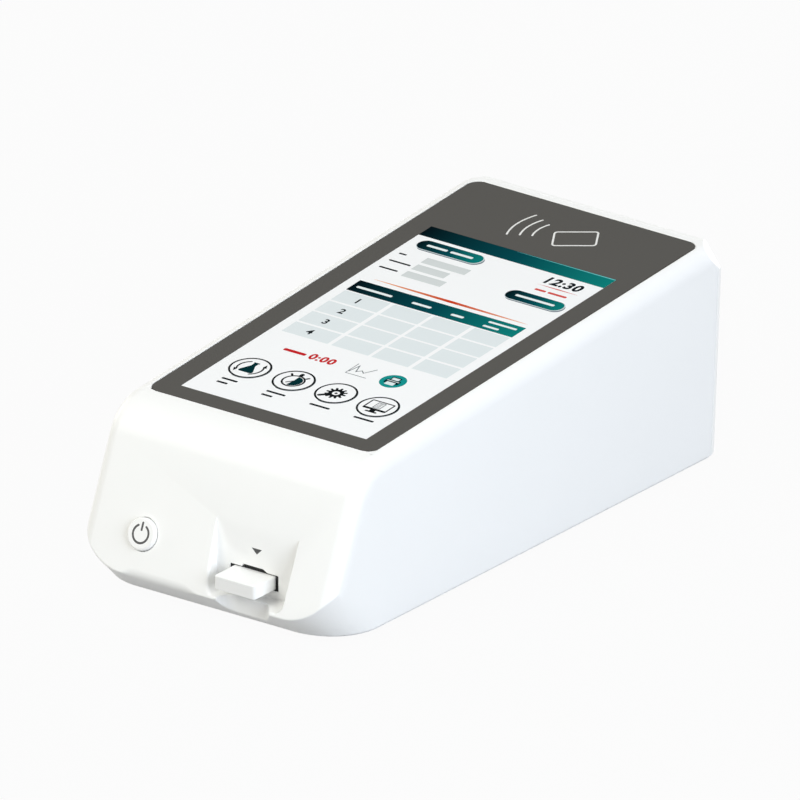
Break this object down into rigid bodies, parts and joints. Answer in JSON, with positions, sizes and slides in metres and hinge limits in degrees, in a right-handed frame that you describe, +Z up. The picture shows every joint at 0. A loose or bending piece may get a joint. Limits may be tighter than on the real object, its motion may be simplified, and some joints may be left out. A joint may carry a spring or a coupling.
{
  "type": "fluorescence immunoassay analyzer",
  "caption": "Desktop fluorescence immunoassay analyzer: wedge housing with a sloped touch screen, power button and a card slot with a motor-driven card carrier.",
  "frame": {"origin": "on the table under the middle of the outline, feet bottoms at z = 0", "axes": "+X to the right seen from the front, +Y to the back along the length, +Z up"},
  "size_m": [0.1186, 0.2488, 0.0852],
  "materials": {
    "white_moulding": "fine satin moulded texture, near white",
    "base_grey": "satin light grey moulding",
    "screen_glass": "polished cover glass, printed dark on its back",
    "screen_panel": "lit display panel",
    "foam_tape": "black adhesive foam",
    "sheet_steel": "plain zinc-plated sheet",
    "screw_steel": "nickel-plated screws",
    "circuit_board": "green lacquered board",
    "copper_track": "tinned copper tracks",
    "button_white": "satin moulded cap, near white",
    "switch_black": "black engineering plastic",
    "chassis_black": "matt black glass-filled plastic",
    "rod_steel": "ground steel rod",
    "bronze": "sintered bronze",
    "acetal": "natural acetal",
    "spring_steel": "bright spring steel",
    "lens_glass": "clear optical glass",
    "filter_glass": "coloured filter glass",
    "card_white": "white card moulding",
    "strip_paper": "white membrane",
    "socket_metal": "tinned socket shell",
    "foot_rubber": "soft black rubber",
    "cell_steel": "bright cell can",
    "ribbon_film": "amber film ribbon"
  },
  "bodies": {
    "body": {"main_housing": "white_moulding", "base_tray": "base_grey", "rear_panel": "white_moulding", "rear_screws": "screw_steel", "base_screws": "screw_steel", "rubber_feet": "foot_rubber", "cover_glass": "screen_glass", "glass_tape": "foam_tape", "display_module": "screen_panel", "display_bracket": "sheet_steel", "driver_board": "circuit_board", "bracket_screws": "screw_steel", "antenna_board": "circuit_board", "antenna_coil": "copper_track", "switch_body": "switch_black", "switch_board": "circuit_board", "switch_screws": "screw_steel", "scan_chassis": "chassis_black", "chassis_screws": "screw_steel", "guide_rods": "rod_steel", "screw_bushes": "bronze", "stepper_motor": "sheet_steel", "motor_screws": "screw_steel", "home_sensor": "switch_black", "optics_bridge": "chassis_black", "optics_block": "chassis_black", "objective_lens": "lens_glass", "emission_filter": "filter_glass", "detector": "cell_steel", "detector_board": "circuit_board", "light_source": "cell_steel", "excitation_filter": "filter_glass", "main_board": "circuit_board", "board_screws": "screw_steel", "usb_sockets": "socket_metal", "lan_socket": "socket_metal", "dc_inlet": "switch_black", "board_chips": "switch_black", "cell_holder": "switch_black", "clock_cell": "cell_steel", "buzzer": "switch_black", "ribbon_sockets": "acetal", "display_ribbon": "ribbon_film"},
    "button": {"power_button": "button_white", "switch_plunger": "switch_black"},
    "carrier": {"card_carrier": "chassis_black", "lead_nut": "acetal", "card_clip": "spring_steel"},
    "screw": {"lead_screw": "rod_steel"},
    "card": {"card_base": "card_white", "card_cover": "card_white", "test_strip": "strip_paper"}
  },
  "joints": [
    {"name": "button_press", "type": "slide", "parent": "body", "child": "button", "axis": [0, 0.9225, -0.3859], "range_m": [0, 0.0008], "stiffness_N_per_m": 1500},
    {"name": "carrier_slide", "type": "slide", "parent": "body", "child": "carrier", "axis": [0, 1, 0], "range_m": [0, 0.03]},
    {"name": "screw_spin", "type": "hinge", "parent": "body", "child": "screw", "pos_m": [-0.0102, -0.05296, 0.015], "axis": [0, 1, 0], "range_deg": [0, 2701]},
    {"name": "card_slide", "type": "slide", "parent": "carrier", "child": "card", "axis": [0, -1, 0], "range_m": [0, 0.075]}
  ],
  "couplings": [
    {"joint": "screw_spin", "follows": "carrier_slide", "rad_per_m": 1570.8}
  ]
}
